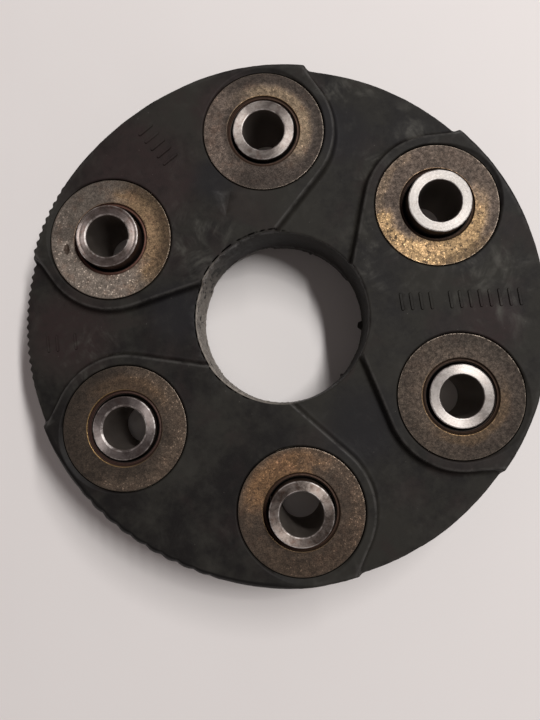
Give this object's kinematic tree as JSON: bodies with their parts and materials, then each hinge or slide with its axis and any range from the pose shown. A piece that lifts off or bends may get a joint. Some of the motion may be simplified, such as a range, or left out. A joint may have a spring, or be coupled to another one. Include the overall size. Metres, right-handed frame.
{
  "type": "flexible disc coupling",
  "caption": "Flexible rubber disc coupling with cord-tied steel sleeves on one bolt circle, joining two three-arm shaft flanges.",
  "frame": {"origin": "centre of the disc, on its axis and halfway through its thickness", "axes": "+Z along the shaft axis, out of the front face; +Y towards station 1; stations count clockwise as seen from the front"},
  "size_m": [0.15, 0.15, 0.0364],
  "materials": {
    "rubber": "satin moulded rubber, dusty",
    "sleeve_steel": "turned, semi-bright",
    "collar_steel": "pressed sheet, brown patina",
    "ring_steel": "pressed sheet, plain",
    "cord": "wound cord, rubber coated"
  },
  "bodies": {
    "driving_side": {"rubber_body": "rubber", "sleeve_1": "sleeve_steel", "front_collar_1": "collar_steel", "back_collar_1": "collar_steel", "middle_ring_1": "ring_steel", "sleeve_3": "sleeve_steel", "front_collar_3": "collar_steel", "back_collar_3": "collar_steel", "middle_ring_3": "ring_steel", "sleeve_5": "sleeve_steel", "front_collar_5": "collar_steel", "back_collar_5": "collar_steel", "middle_ring_5": "ring_steel", "back_cord_loop_12": "cord", "front_cord_loop_23": "cord", "back_cord_loop_34": "cord", "front_cord_loop_45": "cord", "back_cord_loop_56": "cord", "front_cord_loop_61": "cord"},
    "driven_side": {"sleeve_2": "sleeve_steel", "front_collar_2": "collar_steel", "back_collar_2": "collar_steel", "middle_ring_2": "ring_steel", "sleeve_4": "sleeve_steel", "front_collar_4": "collar_steel", "back_collar_4": "collar_steel", "middle_ring_4": "ring_steel", "sleeve_6": "sleeve_steel", "front_collar_6": "collar_steel", "back_collar_6": "collar_steel", "middle_ring_6": "ring_steel"}
  },
  "joints": [
    {"name": "torsional_wind_up", "type": "hinge", "parent": "driving_side", "child": "driven_side", "pos_m": [0, 0, 0], "axis": [0, 0, 1], "range_deg": [-3, 3], "stiffness_Nm_per_rad": 8000, "deforming": ["rubber_body", "back_cord_loop_12", "front_cord_loop_23", "back_cord_loop_34", "front_cord_loop_45", "back_cord_loop_56", "front_cord_loop_61"]}
  ]
}
